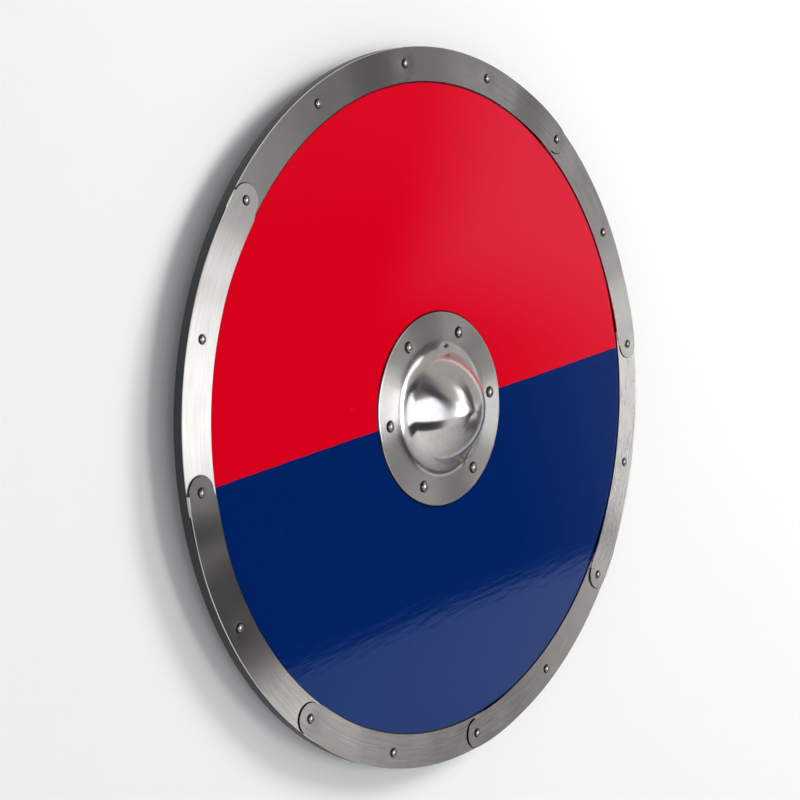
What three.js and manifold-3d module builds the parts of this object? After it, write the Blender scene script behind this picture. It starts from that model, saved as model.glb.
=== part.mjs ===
// Round wooden shield, lying on its back with its painted front face up.
// Millimetres, +Z up. Z = 0 is the underside of the hand grip, which the shield rests on, and the
// board's centre is on the Z axis. +X runs along the line between the two paint colours, with the
// red half on the +Y side and the navy half on the -Y side.
import * as THREE from "three";
import { mergeVertices } from "three/addons/utils/BufferGeometryUtils.js";
import Module from "manifold-3d";

const wasm = await Module();
wasm.setup();

// Board: one flat plywood disc with a round hand hole behind the boss.
const shieldDiameter = 609.6;
const boardThickness = 9.5;
const boardSides = 96;
const backEdgeEase = 1.5;
const handHoleDiameter = 110;
const handHoleSides = 36;

// Steel rim: eight curved strips, each lapped over the next one.
const stripCount = 8;
const stripWidth = 28.6;
const stripThickness = 1.2;
const rimRivetCircle = 291.5;
const lapEndRadius = 13;
const lapShoulder = 9;
const hiddenTail = 15;
const lapRaisedTo = 17;
const lapRampTo = 27;

// Boss: one raised steel sheet, a flat flange with a hollow dome in the middle.
const bossFlangeDiameter = 165;
const bossThickness = 1.5;
const bossSides = 40;
const domeHeight = 35;
const domeFootRadius = 48.3;
const domeTipPower = 1.9;
const domeSidePower = 0.7;
const domeFillet = 15;
const domeRings = 6;
const filletRings = 4;

// Hand grip: a wooden bar across the hand hole, on the board's back.
const gripLength = 200;
const gripPalmWidth = 30;
const gripEndWidth = 35;
const gripDepth = 18;
const gripChamfer = 5;
const gripRecessDiameter = 14;
const gripRecessDepth = 4;

// Rivets: domed heads on the front, shanks through the stack, peened over behind.
const rimRivet = { head: 7, headHeight: 2.3, shank: 3.2, tail: 6.4, tailHeight: 1, sides: 10 };
const bossRivet = { head: 9, headHeight: 3, shank: 4.8, tail: 8.4, tailHeight: 1.4, sides: 12 };
const bossRivetCircle = 69;
const bossRivetCount = 6;
const shankClearance = 0.3;

// Levels and radii that follow from the sizes above.
const outerRadius = shieldDiameter / 2;
const stripInnerRadius = outerRadius - stripWidth;
const boardBack = gripDepth;
const boardFront = boardBack + boardThickness;
const rimRivetCount = stripCount * 2;
const stripAngle = (2 * Math.PI) / stripCount;
const bossFlangeTop = boardFront + bossThickness;

const polishedSteel = { color: 0xb9b6b0, roughness: 0.18, metalness: 1 };
const finishes = {
  board: new THREE.MeshStandardMaterial({ color: 0xd2001e, roughness: 0.3, metalness: 0 }),
  strip: new THREE.MeshStandardMaterial(polishedSteel),
  rivet: new THREE.MeshStandardMaterial({ ...polishedSteel, color: 0xc4c1bb }),
  boss: new THREE.MeshStandardMaterial({ ...polishedSteel, color: 0x9d9a95 }),
  grip: new THREE.MeshStandardMaterial({ color: 0x8a6a45, roughness: 0.6, metalness: 0 }),
};

// A manifold solid from any closed geometry, welded so that only its positions are left.
function solidFrom(geometry) {
  const bare = geometry.clone();
  bare.deleteAttribute("normal");
  bare.deleteAttribute("uv");
  const welded = mergeVertices(bare, 1e-4);
  return new wasm.Manifold(
    new wasm.Mesh({
      numProp: 3,
      vertProperties: new Float32Array(welded.attributes.position.array),
      triVerts: new Uint32Array(welded.index.array),
    }),
  );
}

function geometryFrom(solid) {
  const mesh = solid.getMesh();
  const geometry = new THREE.BufferGeometry();
  geometry.setAttribute("position", new THREE.BufferAttribute(mesh.vertProperties, 3));
  geometry.setIndex(new THREE.BufferAttribute(mesh.triVerts, 1));
  geometry.computeVertexNormals();
  return geometry;
}

// Turns a profile of [radius, z] points round the Z axis.
function turned(profile, sides) {
  const points = profile.map(([radius, z]) => new THREE.Vector2(radius, z));
  return new THREE.LatheGeometry(points, sides).rotateX(Math.PI / 2);
}

// Skins equal rings of points, each counter-clockwise seen from where the loft starts.
function lofted(rings) {
  const count = rings[0].length;
  const positions = rings.flat().flatMap((point) => point.toArray());
  const faces = [];
  for (let ring = 0; ring < rings.length - 1; ring++) {
    for (let i = 0; i < count; i++) {
      const a = ring * count + i;
      const b = ring * count + ((i + 1) % count);
      faces.push(a, a + count, b, b, a + count, b + count);
    }
  }
  const last = (rings.length - 1) * count;
  for (let i = 1; i < count - 1; i++) {
    faces.push(0, i, i + 1);
    faces.push(last, last + i + 1, last + i);
  }
  const geometry = new THREE.BufferGeometry();
  geometry.setAttribute("position", new THREE.Float32BufferAttribute(positions, 3));
  geometry.setIndex(faces);
  return geometry;
}

// An upright drill of one radius, from one height to another, at an [x, y] place.
function drill(radius, sides, bottom, top, [x, y]) {
  const height = top - bottom;
  const cylinder = new THREE.CylinderGeometry(radius, radius, height, sides).rotateX(Math.PI / 2);
  return solidFrom(cylinder.translate(x, y, (bottom + top) / 2));
}

function drilled(geometry, drills) {
  return geometryFrom(drills.reduce((solid, tool) => solid.subtract(tool), solidFrom(geometry)));
}

function onCircle(radius, angle) {
  return [radius * Math.cos(angle), radius * Math.sin(angle)];
}

function rimRivetPlaces() {
  return Array.from({ length: rimRivetCount }, (_, i) => onCircle(rimRivetCircle, (i * stripAngle) / 2));
}

function bossRivetPlaces() {
  const step = (2 * Math.PI) / bossRivetCount;
  return Array.from({ length: bossRivetCount }, (_, i) => onCircle(bossRivetCircle, i * step));
}

function rivetHole(rivet, place, bottom, top) {
  return drill(rivet.shank / 2 + shankClearance, rivet.sides, bottom, top, place);
}

function boardGeometry() {
  const holeRadius = handHoleDiameter / 2;
  const disc = turned(
    [
      [outerRadius - backEdgeEase, boardBack],
      [outerRadius, boardBack + backEdgeEase],
      [outerRadius, boardFront],
      [holeRadius + 1, boardFront],
      [holeRadius + 1, boardBack],
      [outerRadius - backEdgeEase, boardBack],
    ],
    boardSides,
  );
  const bottom = boardBack - 1;
  const top = boardFront + 1;
  return drilled(disc, [
    ...rimRivetPlaces().map((place) => rivetHole(rimRivet, place, bottom, top)),
    ...bossRivetPlaces().map((place) => rivetHole(bossRivet, place, bottom, top)),
  ]);
}

// How high the strip's underside is, at a distance along the rim from its round end's rivet.
function lapLift(along) {
  const ramp = (lapRampTo - along) / (lapRampTo - lapRaisedTo);
  return stripThickness * THREE.MathUtils.clamp(ramp, 0, 1);
}

// One strip, its round end's rivet on +X and its body running counter-clockwise.
function stripGeometry() {
  const along = [];
  for (let turn = 8; turn < 90; turn += 16.4) {
    along.push(-lapEndRadius * Math.cos(THREE.MathUtils.degToRad(turn)));
  }
  along.push(lapShoulder, lapRaisedTo, lapRampTo);
  const facet = (2 * Math.PI * rimRivetCircle) / boardSides;
  const bodyLength = stripAngle * rimRivetCircle;
  for (let s = 2 * facet; s < bodyLength + hiddenTail - facet / 2; s += facet) {
    along.push(s);
  }
  along.push(bodyLength + hiddenTail);
  const rings = along.map((s) => {
    const angle = s / rimRivetCircle;
    const endHalf = Math.sqrt(Math.max(lapEndRadius ** 2 - Math.min(s, 0) ** 2, 0));
    const widening = THREE.MathUtils.clamp(s / lapShoulder, 0, 1);
    const inner = THREE.MathUtils.lerp(rimRivetCircle - endHalf, stripInnerRadius, widening);
    const outer = THREE.MathUtils.lerp(rimRivetCircle + endHalf, outerRadius, widening);
    const bottom = boardFront + lapLift(s);
    const top = bottom + stripThickness;
    return [
      new THREE.Vector3(...onCircle(inner, angle), bottom),
      new THREE.Vector3(...onCircle(outer, angle), bottom),
      new THREE.Vector3(...onCircle(outer, angle), top),
      new THREE.Vector3(...onCircle(inner, angle), top),
    ];
  });
  const drills = [0, 1, 2].map((i) => {
    const place = onCircle(rimRivetCircle, (i * stripAngle) / 2);
    return rivetHole(rimRivet, place, boardFront - 1, boardFront + 4);
  });
  return drilled(lofted(rings), drills);
}

function domeAt(radius) {
  return domeHeight * (1 - (radius / domeFootRadius) ** domeTipPower) ** domeSidePower;
}

function domeSlope(radius) {
  const step = 0.01;
  return Math.atan2(domeAt(radius - step) - domeAt(radius + step), 2 * step);
}

// The radius where the dome runs into its fillet, found by halving.
function domeJoin() {
  let low = domeFootRadius / 2;
  let high = domeFootRadius - 0.1;
  for (let i = 0; i < 40; i++) {
    const middle = (low + high) / 2;
    const gap = domeAt(middle) - domeFillet * (1 - Math.cos(domeSlope(middle)));
    [low, high] = gap > 0 ? [middle, high] : [low, middle];
  }
  return low;
}

// The sheet's section from the crown to the flange's edge, set in from its top by a depth.
function bossSection(depth) {
  const join = domeJoin();
  const joinSlope = domeSlope(join);
  const footRadius = join + domeFillet * Math.sin(joinSlope);
  const section = [[0, domeHeight - depth]];
  for (let i = 1; i <= domeRings; i++) {
    const radius = join * Math.sin((i / domeRings) * (Math.PI / 2));
    const slope = domeSlope(radius);
    section.push([radius - depth * Math.sin(slope), domeAt(radius) - depth * Math.cos(slope)]);
  }
  for (let i = 1; i <= filletRings; i++) {
    const slope = joinSlope * (1 - i / filletRings);
    const reach = domeFillet + depth;
    section.push([footRadius - reach * Math.sin(slope), domeFillet - reach * Math.cos(slope)]);
  }
  section.push([bossFlangeDiameter / 2, -depth]);
  return section.map(([radius, z]) => [radius, z + bossFlangeTop]);
}

function bossGeometry() {
  const profile = [...bossSection(bossThickness), ...bossSection(0).reverse()];
  const drills = bossRivetPlaces().map((place) =>
    rivetHole(bossRivet, place, boardFront - 1, bossFlangeTop + 1),
  );
  return drilled(turned(profile, bossSides), drills);
}

// The bar is waisted for the palm, and its ends slope up to the board.
function gripGeometry() {
  const half = gripLength / 2;
  const stations = [
    { x: -half, width: gripEndWidth, bottom: gripDepth / 2 },
    { x: -half + 12, width: gripEndWidth, bottom: 0 },
    { x: -handHoleDiameter / 2, width: gripEndWidth, bottom: 0 },
    { x: -handHoleDiameter / 4, width: gripPalmWidth, bottom: 0 },
  ];
  const mirrored = stations.map((station) => ({ ...station, x: -station.x })).reverse();
  const rings = [...stations, ...mirrored].map(({ x, width, bottom }) => {
    const side = width / 2;
    const chamfer = Math.min(gripChamfer, (gripDepth - bottom) / 2);
    return [
      [-side, gripDepth],
      [-side, bottom + chamfer],
      [-side + chamfer, bottom],
      [side - chamfer, bottom],
      [side, bottom + chamfer],
      [side, gripDepth],
    ].map(([y, z]) => new THREE.Vector3(x, y, z)).reverse();
  });
  const drills = bossRivetPlaces()
    .filter(([, y]) => Math.abs(y) < 1)
    .flatMap((place) => [
      rivetHole(bossRivet, place, -1, gripDepth + 1),
      drill(gripRecessDiameter / 2, bossRivet.sides, -1, gripRecessDepth, place),
    ]);
  return drilled(lofted(rings), drills);
}

// A rivet with its head's underside at z = 0 and its shank down through a stack of one depth.
function rivetGeometry(rivet, stack) {
  const head = rivet.head / 2;
  const shank = rivet.shank / 2;
  const tail = rivet.tail / 2;
  const profile = [
    [0, -stack - rivet.tailHeight],
    [tail * 0.7, -stack - rivet.tailHeight],
    [tail, -stack],
    [shank, -stack],
    [shank, 0],
    [head, 0],
    [head * 0.82, rivet.headHeight * 0.62],
    [head * 0.42, rivet.headHeight * 0.93],
    [0, rivet.headHeight],
  ];
  return turned(profile, rivet.sides);
}

function named(name, geometry, finish) {
  const mesh = new THREE.Mesh(geometry, finish);
  mesh.name = name;
  return mesh;
}

const shield = new THREE.Group();
shield.add(named("board", boardGeometry(), finishes.board));
shield.add(named("boss", bossGeometry(), finishes.boss));
shield.add(named("grip", gripGeometry(), finishes.grip));

const strip = stripGeometry();
for (let i = 0; i < stripCount; i++) {
  const mesh = named(`rim_strip_${i + 1}`, strip, finishes.strip);
  mesh.rotation.z = i * stripAngle;
  shield.add(mesh);
}

rimRivetPlaces().forEach(([x, y], i) => {
  const sheets = i % 2 === 0 ? 2 : 1;
  const stack = boardThickness + sheets * stripThickness;
  const mesh = named(`rim_rivet_${i + 1}`, rivetGeometry(rimRivet, stack), finishes.rivet);
  mesh.position.set(x, y, boardBack + stack);
  shield.add(mesh);
});

bossRivetPlaces().forEach(([x, y], i) => {
  const tailLevel = Math.abs(y) < 1 ? gripRecessDepth : boardBack;
  const stack = bossFlangeTop - tailLevel;
  const mesh = named(`boss_rivet_${i + 1}`, rivetGeometry(bossRivet, stack), finishes.rivet);
  mesh.position.set(x, y, bossFlangeTop);
  shield.add(mesh);
});

export default shield;
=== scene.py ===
import bpy
import bmesh
import math
from mathutils import Matrix, Vector, noise


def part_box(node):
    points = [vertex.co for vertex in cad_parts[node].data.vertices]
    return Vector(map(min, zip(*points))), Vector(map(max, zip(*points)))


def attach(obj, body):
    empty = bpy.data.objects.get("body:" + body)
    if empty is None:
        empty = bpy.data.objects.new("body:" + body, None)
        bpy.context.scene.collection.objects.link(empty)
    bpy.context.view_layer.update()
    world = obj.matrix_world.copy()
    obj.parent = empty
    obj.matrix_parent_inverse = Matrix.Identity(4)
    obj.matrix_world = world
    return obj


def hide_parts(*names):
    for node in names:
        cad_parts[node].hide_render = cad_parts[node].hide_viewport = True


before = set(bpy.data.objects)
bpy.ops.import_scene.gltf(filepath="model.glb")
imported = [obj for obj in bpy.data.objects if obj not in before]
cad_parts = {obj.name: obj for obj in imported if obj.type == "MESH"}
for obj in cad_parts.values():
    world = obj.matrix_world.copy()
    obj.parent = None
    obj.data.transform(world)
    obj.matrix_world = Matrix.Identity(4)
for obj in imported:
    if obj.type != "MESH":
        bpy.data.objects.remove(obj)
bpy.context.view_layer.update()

mm = 0.001
boardLow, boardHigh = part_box("board")
shieldRadius = boardHigh.x / mm
boardFront = boardHigh.z / mm
boardBack = boardLow.z / mm
print("frame loaded, board radius", round(shieldRadius, 1), "mm")

cameraSettings = {
    "lens": 88.4,
    "aim": (-52.7, 19),  # mm, the spot on the steel's level that the camera looks at
    "azimuth": 166.26,  # degrees from +X
    "elevation": 39.47,
    "distance": 1629.6,  # mm
    "roll": 92.45,  # turned on its side, so that the red half is at the top of the frame
    "steelLevel": 1.2,  # mm over the board
    "sensor": 36,  # mm
    "nearest": 0.05,  # metres
}


def makeCamera(settings):
    azimuth = math.radians(settings["azimuth"])
    elevation = math.radians(settings["elevation"])
    back = Vector((
        math.cos(azimuth) * math.cos(elevation),
        math.sin(azimuth) * math.cos(elevation),
        math.sin(elevation),
    ))
    aim = Vector((*settings["aim"], boardFront + settings["steelLevel"]))
    data = bpy.data.cameras.new("studioCamera")
    data.lens = settings["lens"]
    data.sensor_width = settings["sensor"]
    data.clip_start = settings["nearest"]
    camera = bpy.data.objects.new("studioCamera", data)
    bpy.context.collection.objects.link(camera)
    turn = (-back).to_track_quat("-Z", "Y").to_matrix().to_4x4()
    roll = Matrix.Rotation(math.radians(settings["roll"]), 4, "Z")
    camera.matrix_world = Matrix.Translation((aim + back * settings["distance"]) * mm) @ turn @ roll
    bpy.context.scene.camera = camera


makeCamera(cameraSettings)
print("camera placed")


def linear(hexColour):
    # an sRGB hex value as the linear colour that a shader takes
    values = []
    for i in (1, 3, 5):
        channel = int(hexColour[i:i + 2], 16) / 255
        values.append(channel / 12.92 if channel <= 0.04045 else ((channel + 0.055) / 1.055) ** 2.4)
    return (*values, 1)


def addNode(tree, kind, inputs=None, **settings):
    # an input is either a socket to link or a value to set
    node = tree.nodes.new(kind)
    for name, value in settings.items():
        setattr(node, name, value)
    for key, value in (inputs or {}).items():
        if isinstance(value, bpy.types.NodeSocket):
            tree.links.new(value, node.inputs[key])
        else:
            node.inputs[key].default_value = value
    return node


def newMaterial(name):
    material = bpy.data.materials.new(name)
    material.use_nodes = True
    material.node_tree.nodes.clear()
    return material, material.node_tree


# The sky is charted by the angle from straight up, in degrees, spread over the ground plan:
# (40, 0) is 40 degrees down from straight up, towards +X. Each card covers a patch of the chart,
# with its middle, half its width and height, its turn, how soft its edges are, and its light,
# which may drift by a share of itself from the middle to the right edge.
skySettings = {
    "base": ("#FFFAF5", 0.38),
    "backdrop": ("#FBFBFB", 1.0),  # what the camera sees past the floor's end
    "cards": [
        # dim corner of the room, above the window
        {"at": (-48, 65), "size": (42, 28), "turn": 0, "soft": 0.3, "tint": "#FBFAFF", "light": 0.13},
        # big window
        {"at": (-57, 7), "size": (39, 23.5), "turn": 0, "soft": 0.06, "tint": "#F4F8FF", "light": 1.35},
        # pale wall between the window and the strip light
        {"at": (-4, -16), "size": (15, 15), "turn": 0, "soft": 0.3, "tint": "#FFFFFF", "light": 0.6},
        # strip light, and its hot lower part
        {"at": (25, 18), "size": (7.5, 12), "turn": -17, "soft": 0.4, "tint": "#FFFFFF", "light": 1.6},
        {"at": (18, -4), "size": (6.5, 10), "turn": -12, "soft": 0.35, "tint": "#FFFFFF", "light": 7.5},
        # dark curtain between the window and the strip light
        {"at": (-18, 31), "size": (9, 29), "turn": 28, "soft": 0.4, "tint": "#F0F0FF", "light": 0.06},
        # dark gap under the window
        {"at": (-55, -28), "size": (38, 10), "turn": 0, "soft": 0.14, "tint": "#EEF2FF", "light": 0.04},
        # pale wall on the right, and the dark room that the flat steel faces
        {"at": (78, 2), "size": (17, 16), "turn": 0, "soft": 0.2, "tint": "#FFFCF8", "light": 0.4},
        {"at": (45, 10), "size": (9, 18), "turn": 0, "soft": 0.4, "tint": "#FFFFFF", "light": 0.1},
        {"at": (40, -14), "size": (14, 9), "turn": 5, "soft": 0.25, "tint": "#EEF2FF", "light": 0.02},
        # haze over the red paint, and a lamp by the wall
        {"at": (56, -4.5), "size": (3.6, 5), "turn": -20, "soft": 0.5, "tint": "#FFFFFF", "light": 0.55},
        {"at": (62.5, -13), "size": (4.5, 6.5), "turn": 0, "soft": 0.25, "tint": "#FFFFFF", "light": 0.85},
        # table, brighter towards its left, and the lit part of it that the paint mirrors
        {"at": (10, -88), "size": (130, 60), "turn": 10.8, "soft": 0.012, "tint": "#FFFBF9", "light": 0.47,
         "drift": -1.4},
        {"at": (48, -26.4), "size": (13, 7), "turn": 10.8, "soft": 0.03, "tint": "#FFFCFA", "light": 1.0},
        # things on the table, dark
        {"at": (31, -29), "size": (7, 8), "turn": 0, "soft": 0.4, "tint": "#FFFFFF", "light": 0.08},
        {"at": (50, -34), "size": (17, 9), "turn": 5, "soft": 0.4, "tint": "#FFFFFF", "light": 0.06},
    ],
}


def makeSky(settings):
    world = bpy.data.worlds.new("studioSky")
    bpy.context.scene.world = world
    world.use_nodes = True
    tree = world.node_tree
    tree.nodes.clear()
    direction = addNode(tree, "ShaderNodeTexCoord").outputs["Generated"]
    parts = addNode(tree, "ShaderNodeSeparateXYZ", {0: direction})
    fromTop = addNode(tree, "ShaderNodeMath", {0: parts.outputs["Z"]}, operation="ARCCOSINE")
    degrees = addNode(tree, "ShaderNodeMath", {0: fromTop.outputs[0]}, operation="DEGREES")
    flat = addNode(tree, "ShaderNodeVectorMath", {0: direction, 1: (1, 1, 0)}, operation="MULTIPLY")
    heading = addNode(tree, "ShaderNodeVectorMath", {0: flat.outputs[0]}, operation="NORMALIZE")
    chart = addNode(tree, "ShaderNodeVectorMath", {0: heading.outputs[0], "Scale": degrees.outputs[0]},
                    operation="SCALE")

    def glow(tint, light):
        return (*[channel * light for channel in linear(tint)[:3]], 1)

    colour = glow(*settings["base"])
    for card in settings["cards"]:
        local = addNode(tree, "ShaderNodeMapping", {
            "Vector": chart.outputs[0],
            "Location": (*card["at"], 0),
            "Rotation": (0, 0, math.radians(card["turn"])),
            "Scale": (*card["size"], 1),
        }, vector_type="TEXTURE")
        sides = addNode(tree, "ShaderNodeVectorMath", {0: local.outputs[0]}, operation="ABSOLUTE")
        split = addNode(tree, "ShaderNodeSeparateXYZ", {0: sides.outputs[0]})
        distance = addNode(tree, "ShaderNodeMath", {0: split.outputs[0], 1: split.outputs[1]},
                           operation="MAXIMUM")
        mask = addNode(tree, "ShaderNodeMapRange", {
            "Value": distance.outputs[0], "From Min": 1 - card["soft"], "From Max": 1 + card["soft"],
            "To Min": 1, "To Max": 0,
        }, interpolation_type="SMOOTHSTEP")
        light = glow(card["tint"], card["light"])
        if card.get("drift"):
            across = addNode(tree, "ShaderNodeSeparateXYZ", {0: local.outputs[0]}).outputs[0]
            share = addNode(tree, "ShaderNodeMath", {0: across, 1: card["drift"], 2: 1},
                            operation="MULTIPLY_ADD")
            share = addNode(tree, "ShaderNodeMath", {0: share.outputs[0], 1: 0}, operation="MAXIMUM")
            light = addNode(tree, "ShaderNodeVectorMath", {0: light[:3], "Scale": share.outputs[0]},
                            operation="SCALE").outputs[0]
        colour = addNode(tree, "ShaderNodeMix", {0: mask.outputs[0], 6: colour, 7: light},
                         data_type="RGBA").outputs[2]
    seen = addNode(tree, "ShaderNodeLightPath").outputs["Is Camera Ray"]
    shown = addNode(tree, "ShaderNodeMix", {0: seen, 6: colour, 7: glow(*settings["backdrop"])},
                    data_type="RGBA")
    background = addNode(tree, "ShaderNodeBackground", {"Color": shown.outputs[2], "Strength": 1})
    addNode(tree, "ShaderNodeOutputWorld", {"Surface": background.outputs[0]})


makeSky(skySettings)

lampSettings = {
    "azimuth": 30,  # degrees from +X
    "elevation": 42,
    "distance": 4,  # metres
    "size": 1.6,  # metres across
    "power": 85,  # watts
}


def makeLamp(settings):
    # a big soft box over the far side, which lights paint and floor but isn't mirrored
    azimuth = math.radians(settings["azimuth"])
    elevation = math.radians(settings["elevation"])
    spot = Vector((
        math.cos(azimuth) * math.cos(elevation),
        math.sin(azimuth) * math.cos(elevation),
        math.sin(elevation),
    ))
    data = bpy.data.lights.new("softBox", "AREA")
    data.shape = "DISK"
    data.size = settings["size"]
    data.energy = settings["power"]
    lamp = bpy.data.objects.new("softBox", data)
    bpy.context.collection.objects.link(lamp)
    lamp.location = spot * settings["distance"]
    lamp.rotation_euler = (-spot).to_track_quat("-Z", "Y").to_euler()
    lamp.visible_glossy = False
    lamp.visible_camera = False


makeLamp(lampSettings)

floorSettings = {
    "reach": 60,  # metres from the middle
    "colour": "#F7F7F6",
    "roughness": 0.9,
    "shine": 0.1,
}


def makeFloor(settings):
    reach = settings["reach"]
    mesh = bpy.data.meshes.new("studioFloor")
    corners = [(-reach, -reach, 0), (reach, -reach, 0), (reach, reach, 0), (-reach, reach, 0)]
    mesh.from_pydata(corners, [], [(0, 1, 2, 3)])
    floor = bpy.data.objects.new("studioFloor", mesh)
    bpy.context.collection.objects.link(floor)
    material, tree = newMaterial("mattFloorPaint")  # matt white paint, which shows no reflection
    shader = addNode(tree, "ShaderNodeBsdfPrincipled", {
        "Base Color": linear(settings["colour"]), "Roughness": settings["roughness"],
        "Specular IOR Level": settings["shine"],
    })
    addNode(tree, "ShaderNodeOutputMaterial", {"Surface": shader.outputs[0]})
    mesh.materials.append(material)


makeFloor(floorSettings)
bpy.context.scene.view_settings.view_transform = "Standard"
print("studio lit")


def newPiece(name, vertices, faces, material, nodes, sharpAngle=35):
    # a mesh from points in mm, riding on the shield in place of the CAD nodes
    mesh = bpy.data.meshes.new(name)
    mesh.from_pydata([Vector(v) * mm for v in vertices], [], faces)
    work = bmesh.new()
    work.from_mesh(mesh)
    bmesh.ops.remove_doubles(work, verts=work.verts, dist=1e-7)
    bmesh.ops.recalc_face_normals(work, faces=work.faces)
    work.to_mesh(mesh)
    work.free()
    mesh.shade_smooth()
    mesh.set_sharp_from_angle(angle=math.radians(sharpAngle))
    mesh.materials.append(material)
    piece = bpy.data.objects.new(name, mesh)
    bpy.context.collection.objects.link(piece)
    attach(piece, "root")
    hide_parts(*nodes)
    return piece


def turned(profile, segments):
    # a closed profile of (radius, height) turned round the Z axis
    vertices = []
    rows = []
    for radius, height in profile:
        if radius < 1e-6:
            rows.append([len(vertices)] * segments)
            vertices.append((0, 0, height))
        else:
            rows.append(range(len(vertices), len(vertices) + segments))
            for i in range(segments):
                angle = 2 * math.pi * i / segments
                vertices.append((radius * math.cos(angle), radius * math.sin(angle), height))
    faces = []
    for lower, upper in zip(rows, rows[1:] + rows[:1]):
        for i in range(segments):
            j = (i + 1) % segments
            corners = [lower[i], lower[j], upper[j], upper[i]]
            face = [v for k, v in enumerate(corners) if v not in corners[:k]]
            if len(face) > 2:
                faces.append(face)
    return vertices, faces


def roundedCorner(centre, radius, start, end, steps):
    # points on an arc, angles in degrees
    points = []
    for i in range(steps + 1):
        angle = math.radians(start + (end - start) * i / steps)
        points.append((centre[0] + radius * math.cos(angle), centre[1] + radius * math.sin(angle)))
    return points


def smoothStep(value):
    # 0 to 1 with a soft start and end
    value = min(max(value, 0), 1)
    return value * value * (3 - 2 * value)


def plan(tree):
    # distance from the shield's middle in mm, angle round it, and the place on the face
    place = addNode(tree, "ShaderNodeTexCoord").outputs["Object"]
    parts = addNode(tree, "ShaderNodeSeparateXYZ", {0: place})
    flat = addNode(tree, "ShaderNodeCombineXYZ", {0: parts.outputs[0], 1: parts.outputs[1]}).outputs[0]
    metres = addNode(tree, "ShaderNodeVectorMath", {0: flat}, operation="LENGTH").outputs[1]
    radius = addNode(tree, "ShaderNodeMath", {0: metres, 1: 1000}, operation="MULTIPLY").outputs[0]
    angle = addNode(tree, "ShaderNodeMath", {0: parts.outputs[1], 1: parts.outputs[0]},
                    operation="ARCTAN2").outputs[0]
    return place, flat, radius, angle


def fromRivets(tree, radius, angle, pitch, circle):
    # distance in mm from the nearest of a ring of rivets, and how far along the ring
    fold = addNode(tree, "ShaderNodeMath", {0: angle, 1: pitch / 2, 2: -pitch / 2}, operation="WRAP")
    along = addNode(tree, "ShaderNodeMath", {0: fold.outputs[0], 1: circle}, operation="MULTIPLY").outputs[0]
    across = addNode(tree, "ShaderNodeMath", {0: radius, 1: circle}, operation="SUBTRACT").outputs[0]
    both = addNode(tree, "ShaderNodeCombineXYZ", {0: along, 1: across})
    distance = addNode(tree, "ShaderNodeVectorMath", {0: both.outputs[0]}, operation="LENGTH").outputs[1]
    return distance, along


steelRubbing = {
    "mottleFrom": 0.7,  # the lines and smudges together run from here to there
    "mottleTo": 1.3,
    "detail": 3,
    # the colour of the painted shade against rivet heads, laps and tool marks
    "shadeColour": "#141416",
    "nickFrom": 0.3,  # a tool mark's painted shade: its dark middle and its edge, in shares of its size
    "nickTo": 1.1,
    "nickShade": 0.85,
}


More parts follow.
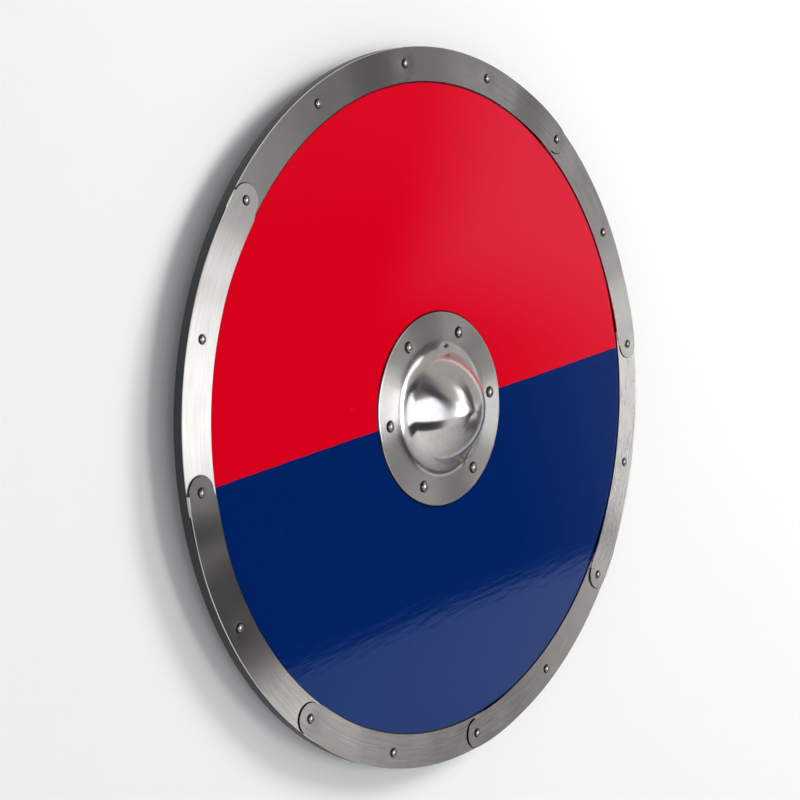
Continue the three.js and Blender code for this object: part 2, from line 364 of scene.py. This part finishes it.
def steelFinish(name, finish):
    # Mild steel polished with a wheel along its length: a bright mirror with fine lines round the shield,
    # which draw each reflection out across the lines. Painted shade darkens the steel at the rivet heads,
    # the laps and the tool marks.
    material, tree = newMaterial(name)
    place, flat, radius, angle = plan(tree)
    shadeColour = linear(steelRubbing["shadeColour"])
    across = addNode(tree, "ShaderNodeVectorMath", {0: flat}, operation="NORMALIZE").outputs[0]
    row = addNode(tree, "ShaderNodeMath", {0: radius, 1: 1 / finish["lineWidth"]}, operation="MULTIPLY")
    turns = addNode(tree, "ShaderNodeMath", {0: angle, 1: finish["lineCount"]}, operation="MULTIPLY")
    lineSpot = addNode(tree, "ShaderNodeCombineXYZ", {0: row.outputs[0], 1: turns.outputs[0]})
    lines = addNode(tree, "ShaderNodeTexNoise", {
        "Vector": lineSpot.outputs[0], "Scale": 1, "Detail": steelRubbing["detail"],
    }, noise_dimensions="2D")
    smudge = addNode(tree, "ShaderNodeTexNoise", {
        "Vector": place, "Scale": 1000 / finish["smudge"], "Detail": steelRubbing["detail"],
    })
    mottle = addNode(tree, "ShaderNodeMath", {0: lines.outputs[0], 1: smudge.outputs[0]}, operation="ADD")
    brushed = addNode(tree, "ShaderNodeMapRange", {
        "Value": mottle.outputs[0],
        "From Min": steelRubbing["mottleFrom"], "From Max": steelRubbing["mottleTo"],
        "To Min": finish["roughness"][0], "To Max": finish["roughness"][1],
    })
    burnished = addNode(tree, "ShaderNodeMapRange", {
        "Value": radius, "From Min": finish["burnished"][0], "From Max": finish["burnished"][1],
        "To Min": finish["burnished"][2], "To Max": 1,
    })
    roughness = addNode(tree, "ShaderNodeMath", {0: brushed.outputs[0], 1: burnished.outputs[0]},
                        operation="MULTIPLY")
    shade = addNode(tree, "ShaderNodeMapRange", {
        "Value": mottle.outputs[0],
        "From Min": steelRubbing["mottleFrom"], "From Max": steelRubbing["mottleTo"],
    })
    metal = addNode(tree, "ShaderNodeMix", {
        0: shade.outputs[0], 6: linear(finish["light"]), 7: linear(finish["dark"]),
    }, data_type="RGBA")
    # painted shade: dark rings round the rivet heads and beside the laps' round ends
    shadeMask = 0
    for pitch, circle, inner, outer, side in finish["paintedShade"]:
        distance, along = fromRivets(tree, radius, angle, math.radians(pitch), circle)
        ring = addNode(tree, "ShaderNodeMapRange", {
            "Value": distance, "From Min": inner, "From Max": outer, "To Min": 1, "To Max": 0,
        }, interpolation_type="SMOOTHSTEP").outputs[0]
        if side:
            clockwise = addNode(tree, "ShaderNodeMath", {0: along, 1: 0}, operation="LESS_THAN")
            clear = addNode(tree, "ShaderNodeMath", {0: distance, 1: side}, operation="GREATER_THAN")
            both = addNode(tree, "ShaderNodeMath", {0: clockwise.outputs[0], 1: clear.outputs[0]},
                           operation="MULTIPLY")
            ring = addNode(tree, "ShaderNodeMath", {0: ring, 1: both.outputs[0]},
                           operation="MULTIPLY").outputs[0]
        shadeMask = addNode(tree, "ShaderNodeMath", {0: ring, 1: shadeMask}, operation="MAXIMUM").outputs[0]
    # painted shade in each tool mark's dent
    for angleAt, radiusAt, halfLength, halfWidth, _ in finish["nicks"]:
        turn = math.radians(angleAt)
        local = addNode(tree, "ShaderNodeMapping", {
            "Vector": flat,
            "Location": (radiusAt * math.cos(turn) * mm, radiusAt * math.sin(turn) * mm, 0),
            "Rotation": (0, 0, turn),
            "Scale": (halfWidth * mm, halfLength * mm, 1),
        }, vector_type="TEXTURE")
        gap = addNode(tree, "ShaderNodeVectorMath", {0: local.outputs[0]}, operation="LENGTH").outputs[1]
        nick = addNode(tree, "ShaderNodeMapRange", {
            "Value": gap, "From Min": steelRubbing["nickFrom"], "From Max": steelRubbing["nickTo"],
            "To Min": steelRubbing["nickShade"], "To Max": 0,
        }, interpolation_type="SMOOTHSTEP")
        shadeMask = addNode(tree, "ShaderNodeMath", {0: nick.outputs[0], 1: shadeMask}, operation="MAXIMUM").outputs[0]
    colour = addNode(tree, "ShaderNodeMix", {0: shadeMask, 6: metal.outputs[2], 7: shadeColour}, data_type="RGBA")
    bump = addNode(tree, "ShaderNodeBump", {
        "Height": lines.outputs[0], "Strength": 1, "Distance": finish["lineDepth"] * mm,
    })
    shader = addNode(tree, "ShaderNodeBsdfPrincipled", {
        "Base Color": colour.outputs[2], "Metallic": 1, "Roughness": roughness.outputs[0],
        "Anisotropic": finish["stretch"], "Tangent": across, "Normal": bump.outputs[0],
    })
    addNode(tree, "ShaderNodeOutputMaterial", {"Surface": shader.outputs[0]})
    return material


stripFinish = {
    "light": "#EFEDEA",
    "dark": "#DFDCDA",
    "roughness": (0.21, 0.26),
    "burnished": (0, 1, 1),  # not rubbed further anywhere
    "stretch": 1,  # how far the lines draw a reflection out
    "lineWidth": 1.6,  # mm between polishing lines, drawn coarse enough to show
    "lineCount": 9,  # breaks in a line for each radian round the shield
    "lineDepth": 0.0008,  # mm
    "smudge": 34,  # mm across
    # rings of painted shade round the rivet heads and beside the laps' round ends: pitch, circle, dark to,
    # clear from, and a one-sided ring's start
    "paintedShade": [(22.5, 291.5, 3.6, 4.5, 0), (45, 291.5, 13.2, 13.9, 12.8)],
    "nicks": [],
}

# tool marks in the hollow round the dome, dented and painted dark as shade: angle in degrees, radius, half
# length, half width, depth
bossNicks = [(75.5, 53, 3.4, 1.5, 0.8), (-63, 57, 5, 1.5, 0.8), (-60, 54.5, 3, 1.2, 0.6)]

bossFinish = {
    "light": "#EFEDEB",
    "dark": "#E5E3E0",
    "roughness": (0.24, 0.27),
    "burnished": (56, 63, 0.54),  # the dome inside this ring is rubbed to this share of the roughness
    "stretch": 1,
    "lineWidth": 1.3,
    "lineCount": 5,
    "lineDepth": 0.0003,
    "smudge": 22,
    # painted shade round the boss's rivet heads
    "paintedShade": [(60, 69, 4.6, 5.6, 0)],
    "nicks": bossNicks,
}

stripPolish = (1, 0.95, 0.9, 1.35, 0.62, 1, 1.05, 1.2)  # each strip met the wheel a little differently
stripSteels = []
for stripNumber, share in enumerate(stripPolish):
    worked = {**stripFinish, "roughness": [value * share for value in stripFinish["roughness"]]}
    stripSteels.append(steelFinish("polishedMildSteelStrip" + str(stripNumber + 1), worked))
bossSteel = steelFinish("spunMildSteel", bossFinish)


rivetShades = {
    # painted shade on the head's sides and foot
    "skirt": "#3C3B3C",
    # painted light on the head's top
    "top": "#BDBAB6",
    "litFrom": 0.5,  # how far a spot has to face up to be painted bright, as painted light from above
    "litTo": 0.85,
    "roughness": 0.24,
    "dent": 2.38,  # mm across a hammer mark
    "dentDepth": 0.05,
}


def rivetFinish(shades):
    # Peened steel with painted light: the head is painted bright where it faces up, and dark grey on its
    # skirt as painted shade down to its foot.
    material, tree = newMaterial("peenedSteelRivet")
    normal = addNode(tree, "ShaderNodeNewGeometry").outputs["Normal"]
    facing = addNode(tree, "ShaderNodeSeparateXYZ", {0: normal})
    litShare = addNode(tree, "ShaderNodeMapRange", {
        "Value": facing.outputs[2], "From Min": shades["litFrom"], "From Max": shades["litTo"],
    }, interpolation_type="SMOOTHSTEP")
    place = addNode(tree, "ShaderNodeTexCoord").outputs["Object"]
    dents = addNode(tree, "ShaderNodeTexNoise", {
        "Vector": place, "Scale": 1000 / shades["dent"], "Detail": 2,
    })
    shade = addNode(tree, "ShaderNodeMix", {
        0: litShare.outputs[0], 6: linear(shades["skirt"]), 7: linear(shades["top"]),
    }, data_type="RGBA")
    bump = addNode(tree, "ShaderNodeBump", {
        "Height": dents.outputs[0], "Strength": 1, "Distance": shades["dentDepth"] * mm,
    })
    shader = addNode(tree, "ShaderNodeBsdfPrincipled", {
        "Base Color": shade.outputs[2], "Metallic": 1, "Roughness": shades["roughness"],
        "Normal": bump.outputs[0],
    })
    addNode(tree, "ShaderNodeOutputMaterial", {"Surface": shader.outputs[0]})
    return material


rivetSteel = rivetFinish(rivetShades)

enamelShades = {
    "red": "#DD001B",
    "navy": "#002363",
    # the colour of the painted shade round the boss and along the strips
    "paintedShade": "#16060C",
    "shine": "#54A6FF",  # the varnish gives the shine a cool cast
    "paintedShadeAt": ((83.0, 84.6), (274.2, 275.6)),  # mm from the middle where the painted shade lies: round the boss's edge, and along the strips' inner edge
    "roughness": 0.05,
    "ior": 1.5,
    "lineFrom": 0.0003,  # metres past the middle where navy turns to red
    "lineTo": 0.0009,
    "lineWaver": 0.0012,  # how far the painted line wavers, in metres
    "waver": 16.7,  # mm across a waver
    "strokeWide": 5.5,  # mm across a brush ripple
    "strokeLong": 28,
    "strokeTurn": 4,  # degrees from the line between the colours
    "strokeDepth": 0.026,  # mm
    "nib": 7,  # mm between places where a dust nib may sit
    "nibShare": 0.94,  # places above this share have a nib
    "nibSize": (0.02, 0.09),  # its flat top and its foot, in shares of the spacing
    "nibHeight": 0.12,  # mm
}


def enamelFinish(shades):
    # Gloss enamel brushed on plywood: strong even colour under a hard shine, which shows long
    # brush ripples where it mirrors the edge of the table, and a few dust nibs.
    material, tree = newMaterial("brushedGlossEnamel")
    place, flat, radius, angle = plan(tree)
    parts = addNode(tree, "ShaderNodeSeparateXYZ", {0: place})
    wobble = addNode(tree, "ShaderNodeTexNoise", {
        "Vector": place, "Scale": 1000 / shades["waver"], "Detail": 2,
    })
    shift = addNode(tree, "ShaderNodeMath", {
        0: wobble.outputs[0], 1: shades["lineWaver"], 2: parts.outputs[1],
    }, operation="MULTIPLY_ADD")
    half = addNode(tree, "ShaderNodeMapRange", {
        "Value": shift.outputs[0], "From Min": shades["lineFrom"], "From Max": shades["lineTo"],
    })
    paint = addNode(tree, "ShaderNodeMix", {
        0: half.outputs[0], 6: linear(shades["navy"]), 7: linear(shades["red"]),
    }, data_type="RGBA")
    # painted shade: a dark line round the boss's edge, and dark from the strips' inner edge outward
    (bossFrom, bossTo), (rimFrom, rimTo) = shades["paintedShadeAt"]
    byBoss = addNode(tree, "ShaderNodeMapRange", {
        "Value": radius, "From Min": bossFrom, "From Max": bossTo, "To Min": 1, "To Max": 0,
    })
    byRim = addNode(tree, "ShaderNodeMapRange", {"Value": radius, "From Min": rimFrom, "From Max": rimTo})
    shadeMask = addNode(tree, "ShaderNodeMath", {0: byBoss.outputs[0], 1: byRim.outputs[0]}, operation="MAXIMUM")
    colour = addNode(tree, "ShaderNodeMix", {
        0: shadeMask.outputs[0], 6: paint.outputs[2], 7: linear(shades["paintedShade"]),
    }, data_type="RGBA")
    strokes = addNode(tree, "ShaderNodeMapping", {
        "Vector": place, "Rotation": (0, 0, math.radians(shades["strokeTurn"])),
        "Scale": (1000 / shades["strokeLong"], 1000 / shades["strokeWide"], 1),
    })
    ripple = addNode(tree, "ShaderNodeTexNoise", {"Vector": strokes.outputs[0], "Scale": 1, "Detail": 2})
    rippled = addNode(tree, "ShaderNodeBump", {
        "Height": ripple.outputs[0], "Strength": 1, "Distance": shades["strokeDepth"] * mm,
    })
    cells = addNode(tree, "ShaderNodeTexVoronoi", {"Vector": flat, "Scale": 1000 / shades["nib"]},
                    voronoi_dimensions="2D")
    chosen = addNode(tree, "ShaderNodeSeparateColor", {0: cells.outputs["Color"]})
    few = addNode(tree, "ShaderNodeMath", {0: chosen.outputs[0], 1: shades["nibShare"]},
                  operation="GREATER_THAN")
    nibTop, nibFoot = shades["nibSize"]
    dot = addNode(tree, "ShaderNodeMapRange", {
        "Value": cells.outputs["Distance"], "From Min": nibTop, "From Max": nibFoot,
        "To Min": 1, "To Max": 0,
    }, interpolation_type="SMOOTHSTEP")
    nib = addNode(tree, "ShaderNodeMath", {0: dot.outputs[0], 1: few.outputs[0]}, operation="MULTIPLY")
    nibbed = addNode(tree, "ShaderNodeBump", {
        "Height": nib.outputs[0], "Strength": 1, "Distance": shades["nibHeight"] * mm,
        "Normal": rippled.outputs[0],
    })
    shader = addNode(tree, "ShaderNodeBsdfPrincipled", {
        "Base Color": colour.outputs[2], "Roughness": shades["roughness"], "IOR": shades["ior"],
        "Specular Tint": linear(shades["shine"]), "Normal": nibbed.outputs[0],
    })
    addNode(tree, "ShaderNodeOutputMaterial", {"Surface": shader.outputs[0]})
    return material


blackShades = {
    "deep": "#0B0C0E",
    "worn": "#222326",
    "grain": 11.1,  # mm along a ply's grain, pressed this many times flatter through the board
    "flatter": 22,
    "grainDepth": 0.12,  # mm
    "roughness": 0.42,
    "ior": 1.5,
}


def blackFinish(shades):
    # Satin black enamel over the cut ply edge and the back: even, with the layers just showing.
    material, tree = newMaterial("satinBlackEnamel")
    place = addNode(tree, "ShaderNodeTexCoord").outputs["Object"]
    layers = addNode(tree, "ShaderNodeMapping", {"Vector": place, "Scale": (1, 1, shades["flatter"])})
    grain = addNode(tree, "ShaderNodeTexNoise", {
        "Vector": layers.outputs[0], "Scale": 1000 / shades["grain"], "Detail": 5,
    })
    shade = addNode(tree, "ShaderNodeMix", {
        0: grain.outputs[0], 6: linear(shades["deep"]), 7: linear(shades["worn"]),
    }, data_type="RGBA")
    bump = addNode(tree, "ShaderNodeBump", {
        "Height": grain.outputs[0], "Strength": 1, "Distance": shades["grainDepth"] * mm,
    })
    shader = addNode(tree, "ShaderNodeBsdfPrincipled", {
        "Base Color": shade.outputs[2], "Roughness": shades["roughness"], "IOR": shades["ior"],
        "Normal": bump.outputs[0],
    })
    addNode(tree, "ShaderNodeOutputMaterial", {"Surface": shader.outputs[0]})
    return material


ashShades = {
    "dark": "#6E4B2B",
    "pale": "#A57C50",
    "grain": 33.3,  # mm along the grain, pressed this many times finer across it
    "finer": 14,
    "grainFrom": 0.35,
    "grainTo": 0.65,
    "grainDepth": 0.08,  # mm
    "roughness": 0.48,
    "ior": 1.46,
}


def gripFinish(shades):
    # Oiled ash: mid brown, open straight grain along the bar, a low oil sheen.
    material, tree = newMaterial("oiledAsh")
    place = addNode(tree, "ShaderNodeTexCoord").outputs["Object"]
    finer = shades["finer"]
    drawn = addNode(tree, "ShaderNodeMapping", {"Vector": place, "Scale": (1, finer, finer)})
    grain = addNode(tree, "ShaderNodeTexNoise", {
        "Vector": drawn.outputs[0], "Scale": 1000 / shades["grain"], "Detail": 6,
    })
    shade = addNode(tree, "ShaderNodeMapRange", {
        "Value": grain.outputs[0], "From Min": shades["grainFrom"], "From Max": shades["grainTo"],
    })
    colour = addNode(tree, "ShaderNodeMix", {
        0: shade.outputs[0], 6: linear(shades["dark"]), 7: linear(shades["pale"]),
    }, data_type="RGBA")
    bump = addNode(tree, "ShaderNodeBump", {
        "Height": grain.outputs[0], "Strength": 1, "Distance": shades["grainDepth"] * mm,
    })
    shader = addNode(tree, "ShaderNodeBsdfPrincipled", {
        "Base Color": colour.outputs[2], "Roughness": shades["roughness"], "IOR": shades["ior"],
        "Normal": bump.outputs[0],
    })
    addNode(tree, "ShaderNodeOutputMaterial", {"Surface": shader.outputs[0]})
    return material


enamel = enamelFinish(enamelShades)
blackEnamel = blackFinish(blackShades)
gripWood = gripFinish(ashShades)
print("finishes mixed")

boardShape = {
    "hole": 56,  # mm radius of the hand hole
    "frontRound": 0.6,
    "backRound": 1.4,
    "holeRound": 1,
    "segments": 288,
    "ringStep": 6,  # mm between the front's rings
    "backFrom": 66,  # radius of the back's first ring
    "backStep": 24,
    "clear": 8,  # mm kept free of rings at the edge
    "firstRing": 4,  # mm from the edge to the front's first ring
    "bareEdge": 2,  # mm at the rim that stays black
}


def makeBoard(shape):
    outer, hole = shieldRadius, shape["hole"]
    front, back = boardFront, boardBack
    holeRound, backRound, frontRound = shape["holeRound"], shape["backRound"], shape["frontRound"]
    profile = roundedCorner((hole + holeRound, back + holeRound), holeRound, 180, 270, 3)
    backRings = range(shape["backFrom"], int(outer) - shape["clear"], shape["backStep"])
    profile += [(radius, back) for radius in backRings]
    profile += roundedCorner((outer - backRound, back + backRound), backRound, 270, 360, 4)
    profile += roundedCorner((outer - frontRound, front - frontRound), frontRound, 0, 90, 3)
    frontRings = int((outer - hole - shape["clear"]) / shape["ringStep"])
    firstRing = outer - shape["firstRing"]
    profile += [(firstRing - i * shape["ringStep"], front) for i in range(frontRings)]
    profile += roundedCorner((hole + holeRound, front - holeRound), holeRound, 90, 180, 3)
    vertices, faces = turned(profile, shape["segments"])
    board = newPiece("paintedBoard", vertices, faces, blackEnamel, ["board"])
    board.data.materials.append(enamel)
    paintedTo = (outer - shape["bareEdge"]) * mm
    for face in board.data.polygons:
        facesUp = face.normal.z > 0.9 and face.center.z > (front - 0.5) * mm
        if facesUp and face.center.xy.length < paintedTo:
            face.material_index = 1


makeBoard(boardShape)
print("board made")

stripCount = 8

stripShape = {
    "width": 28.6,
    "thickness": 1.2,
    "rivetCircle": 291.5,
    "endRadius": 13,
    "endTurns": 20,  # facets round the end
    "shoulder": 9,  # mm over which the round end widens to the strip
    "tail": 15,  # mm that runs on under the next strip
    "raisedTo": 17,  # mm from the end's rivet that lies on the strip below
    "rampTo": 74,  # the sheet settles slowly from the lap on to the board
    "edgeRound": 0.22,
    "pillow": 0.1,  # how far the sheet is drawn down round a rivet
    "pillowReach": 8,
    "columns": (0, 0.1, 0.2, 0.32, 0.46, 0.62, 0.8, 1),  # shares of the way to an edge
    "step": 1.6,
    "wave": 0.05,  # slow waves left by bending the strip by hand
    "waveLong": 38,
    "waveWide": 55,
    "waveApart": 7.3,  # keeps one strip's waves unlike the next one's
    # how each strip leans across its width, in degrees, outer edge down
    "lean": (1.2, 0, 0, 1.4, -0.2, 0, 0, 1.4),
}


def stripHeight(shape, number, along, across):
    ramp = smoothStep((shape["rampTo"] - along) / (shape["rampTo"] - shape["raisedTo"]))
    height = boardFront + shape["thickness"] * ramp
    pitch = math.pi / stripCount * shape["rivetCircle"]
    gap = math.hypot(along - round(along / pitch) * pitch, across)
    height -= shape["pillow"] * math.exp(-(gap / shape["pillowReach"]) ** 2)
    height -= math.tan(math.radians(shape["lean"][number])) * across
    spot = (along / shape["waveLong"], number * shape["waveApart"], across / shape["waveWide"])
    return height + shape["wave"] * noise.noise(spot)


def stripReach(shape, along, fraction):
    # distance from the rivet circle, at a fraction of the way to either edge
    inner = shape["rivetCircle"] - (shieldRadius - shape["width"])
    outer = shieldRadius - shape["rivetCircle"]
    side = outer if fraction > 0 else inner
    widening = (side - shape["endRadius"]) * smoothStep(along / shape["shoulder"])
    return fraction * (shape["endRadius"] + widening)


def makeStrip(shape, number):
    start = number * 2 * math.pi / stripCount
    fractions = [-f for f in reversed(shape["columns"][1:])] + list(shape["columns"])
    length = 2 * math.pi / stripCount * shape["rivetCircle"] + shape["tail"]
    steps = round(length / shape["step"])
    rows = []
    for i in range(steps + 1):
        along = length * i / steps
        rows.append([(along, stripReach(shape, along, f)) for f in fractions])
    # the round end: rings round the rivet, joined to the first row
    turns = shape["endTurns"]
    fan = []
    for share in shape["columns"][1:]:
        reach = shape["endRadius"] * share
        angles = [math.pi * t / turns for t in range(turns + 1)]
        fan.append([(-reach * math.sin(angle), reach * math.cos(angle)) for angle in angles])
    spots = []
    index = {}

    def spot(point):
        key = (round(point[0], 4), round(point[1], 4))
        if key not in index:
            index[key] = len(spots)
            spots.append(point)
        return index[key]

    faces = []
    for near, far in zip(rows, rows[1:]):
        for c in range(len(fractions) - 1):
            faces.append([spot(near[c]), spot(far[c]), spot(far[c + 1]), spot(near[c + 1])])
    centre = rows[0][len(shape["columns"]) - 1]
    for t in range(turns):
        faces.append([spot(centre), spot(fan[0][t]), spot(fan[0][t + 1])])
    for inner, outer in zip(fan, fan[1:]):
        for t in range(turns):
            faces.append([spot(inner[t]), spot(outer[t]), spot(outer[t + 1]), spot(inner[t + 1])])
    count = len(spots)
    top = []
    bottom = []
    for along, across in spots:
        angle = start + along / shape["rivetCircle"]
        radius = shape["rivetCircle"] + across
        height = stripHeight(shape, number, along, across)
        bottom.append((radius * math.cos(angle), radius * math.sin(angle), height))
        top.append((radius * math.cos(angle), radius * math.sin(angle), height + shape["thickness"]))
    edges = {(a, b) for face in faces for a, b in zip(face, face[1:] + face[:1])}
    walls = [[a, b, b + count, a + count] for a, b in sorted(edges) if (b, a) not in edges]
    sheet = [list(reversed(face)) for face in faces] + [[v + count for v in face] for face in faces]
    name = "polishedRimStrip" + str(number + 1)
    strip = newPiece(name, bottom + top, sheet + walls, stripSteels[number],
                     ["rim_strip_" + str(number + 1)])
    bevel = strip.modifiers.new("easedEdges", "BEVEL")
    bevel.width = shape["edgeRound"] * mm
    bevel.segments = 2
    bevel.limit_method = "ANGLE"
    bevel.angle_limit = math.radians(60)


for stripNumber in range(stripCount):
    makeStrip(stripShape, stripNumber)
print("rim strips made")

bossShape = {
    "flangeRadius": 82.5,
    "thickness": 1.5,
    "domeHeight": 35,
    "footRadius": 48.3,
    "tipPower": 1.9,  # a larger power flattens the tip
    "sidePower": 0.7,  # a smaller power steepens the side
    "fillet": 15,  # mm radius of the hollow between dome and flange
    "edgeRound": 0.5,
    "segments": 256,
    "domeRings": 44,
    "filletRings": 14,
    "flangeRings": 14,
}


def domeAt(shape, radius):
    share = 1 - (radius / shape["footRadius"]) ** shape["tipPower"]
    return shape["domeHeight"] * share ** shape["sidePower"]


def domeSlope(shape, radius):
    step = 0.01
    return math.atan2(domeAt(shape, abs(radius - step)) - domeAt(shape, radius + step), 2 * step)


def domeJoin(shape):
    # the radius where the dome's side meets the fillet, found by halving
    low, high = shape["footRadius"] / 2, shape["footRadius"] - 0.1
    for _ in range(40):
        middle = (low + high) / 2
        gap = domeAt(shape, middle) - shape["fillet"] * (1 - math.cos(domeSlope(shape, middle)))
        low, high = (middle, high) if gap > 0 else (low, middle)
    return low


def bossSection(shape, depth):
    # half of the boss's section, at a depth under its outer face
    join = domeJoin(shape)
    slopeThere = domeSlope(shape, join)
    foot = join + shape["fillet"] * math.sin(slopeThere)
    section = [(0, shape["domeHeight"] - depth)]
    for i in range(1, shape["domeRings"] + 1):
        radius = join * math.sin(i / shape["domeRings"] * math.pi / 2)
        slope = domeSlope(shape, radius)
        section.append((radius - depth * math.sin(slope), domeAt(shape, radius) - depth * math.cos(slope)))
    for i in range(1, shape["filletRings"] + 1):
        slope = slopeThere * (1 - i / shape["filletRings"])
        reach = shape["fillet"] + depth
        section.append((foot - reach * math.sin(slope), shape["fillet"] - reach * math.cos(slope)))
    edge = shape["flangeRadius"] - shape["edgeRound"]
    for i in range(1, shape["flangeRings"] + 1):
        section.append((foot + (edge - foot) * i / shape["flangeRings"], -depth))
    return section


def nickDepth(x, y):
    depth = 0
    for angle, radius, halfLength, halfWidth, deep in bossNicks:
        turn = math.radians(angle)
        outward = x * math.cos(turn) + y * math.sin(turn) - radius
        around = -x * math.sin(turn) + y * math.cos(turn)
        depth += deep * math.exp(-(around / halfLength) ** 2 - (outward / halfWidth) ** 2)
    return depth


def makeBoss(shape):
    level = boardFront + shape["thickness"]
    inside = bossSection(shape, shape["thickness"])
    outside = bossSection(shape, 0)
    edge = shape["flangeRadius"] - shape["edgeRound"]
    lip = roundedCorner((edge, -shape["thickness"] + shape["edgeRound"]), shape["edgeRound"], -90, 0, 3)[1:]
    lip += roundedCorner((edge, -shape["edgeRound"]), shape["edgeRound"], 0, 90, 3)[:-1]
    profile = [(r, z + level) for r, z in inside + lip + outside[::-1]]
    vertices, faces = turned(profile, shape["segments"])
    dented = [(x, y, z - nickDepth(x, y)) if z > level else (x, y, z) for x, y, z in vertices]
    newPiece("raisedBoss", dented, faces, bossSteel, ["boss"])


makeBoss(bossShape)
print("boss made")

# radii and heights in mm
rimRivet = {"head": 3.5, "height": 2.3, "shank": 1.6, "tail": 3.2, "tailHeight": 1}
bossRivet = {"head": 4.5, "height": 3, "shank": 2.4, "tail": 4.2, "tailHeight": 1.4}
bossRivetCircle = 69
bossRivetCount = 6
rivetMaking = {"tailRings": 6, "headRings": 10, "segments": 32, "edge": 0.25, "sharpAngle": 40}


def makeRivet(name, node, shape, centre, level, stack):
    # a domed head over the sheets, a shank through them and a peened tail behind
    tailRings, headRings, edge = rivetMaking["tailRings"], rivetMaking["headRings"], rivetMaking["edge"]
    profile = []
    for i in range(tailRings + 1):
        angle = math.pi / 2 * i / tailRings
        profile.append((shape["tail"] * math.sin(angle), -stack - shape["tailHeight"] * math.cos(angle)))
    profile += [(shape["shank"], -stack), (shape["shank"], 0), (shape["head"], 0)]
    for i in range(headRings + 1):
        angle = math.pi / 2 * i / headRings
        profile.append((shape["head"] * math.cos(angle), edge + (shape["height"] - edge) * math.sin(angle)))
    profile[0] = (0, -stack - shape["tailHeight"])
    profile[-1] = (0, shape["height"])
    vertices, faces = turned(profile, rivetMaking["segments"])
    placed = [(x + centre[0], y + centre[1], z + level) for x, y, z in vertices]
    newPiece(name, placed, faces, rivetSteel, [node], rivetMaking["sharpAngle"])


for number in range(2 * stripCount):
    angle = number * math.pi / stripCount
    circle = stripShape["rivetCircle"]
    sheets = 2 if number % 2 == 0 else 1
    stack = boardFront - boardBack + sheets * stripShape["thickness"]
    makeRivet("rimRivet" + str(number + 1), "rim_rivet_" + str(number + 1), rimRivet,
              (circle * math.cos(angle), circle * math.sin(angle)), boardBack + stack, stack)

for number in range(bossRivetCount):
    angle = number * 2 * math.pi / bossRivetCount
    node = "boss_rivet_" + str(number + 1)
    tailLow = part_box(node)[0].z / mm
    level = boardFront + bossShape["thickness"]
    stack = level - tailLow - bossRivet["tailHeight"]
    makeRivet("bossRivet" + str(number + 1), node, bossRivet,
              (bossRivetCircle * math.cos(angle), bossRivetCircle * math.sin(angle)), level, stack)
print("rivets made")

gripShape = {
    "length": 200,
    "palmWidth": 30,
    "endWidth": 35,
    "palmTo": 22,  # mm from the middle where the palm's width ends
    "widening": 34,  # mm over which it widens to the ends
    "depth": 18,
    "round": 5,
    "backRound": 1,
    "endSlope": 12,
    "steps": 60,
    "sharpAngle": 30,
}


def makeGrip(shape):
    half = shape["length"] / 2
    rows = []
    steps = shape["steps"]
    edge = shape["backRound"]
    for i in range(steps + 1):
        x = -half + shape["length"] * i / steps
        reach = abs(x)
        share = smoothStep((reach - shape["palmTo"]) / shape["widening"])
        width = shape["palmWidth"] + (shape["endWidth"] - shape["palmWidth"]) * share
        bottom = shape["depth"] / 2 * max(0, (reach - half + shape["endSlope"]) / shape["endSlope"])
        side = width / 2
        corner = min(shape["round"], (shape["depth"] - bottom) / 2)
        outline = roundedCorner((side - corner, bottom + corner), corner, 0, -90, 5)
        outline += roundedCorner((-side + corner, bottom + corner), corner, -90, -180, 5)
        outline += roundedCorner((-side + edge, shape["depth"] - edge), edge, 180, 90, 2)
        outline += roundedCorner((side - edge, shape["depth"] - edge), edge, 90, 0, 2)
        rows.append([(x, y, z) for y, z in outline])
    count = len(rows[0])
    vertices = [point for row in rows for point in row]
    faces = [list(range(count)), list(range((len(rows) - 1) * count, len(rows) * count))[::-1]]
    for row in range(len(rows) - 1):
        for i in range(count):
            a = row * count + i
            b = row * count + (i + 1) % count
            faces.append([a, b, b + count, a + count])
    newPiece("ashGrip", vertices, faces, gripWood, ["grip"], shape["sharpAngle"])


makeGrip(gripShape)
print("grip made")
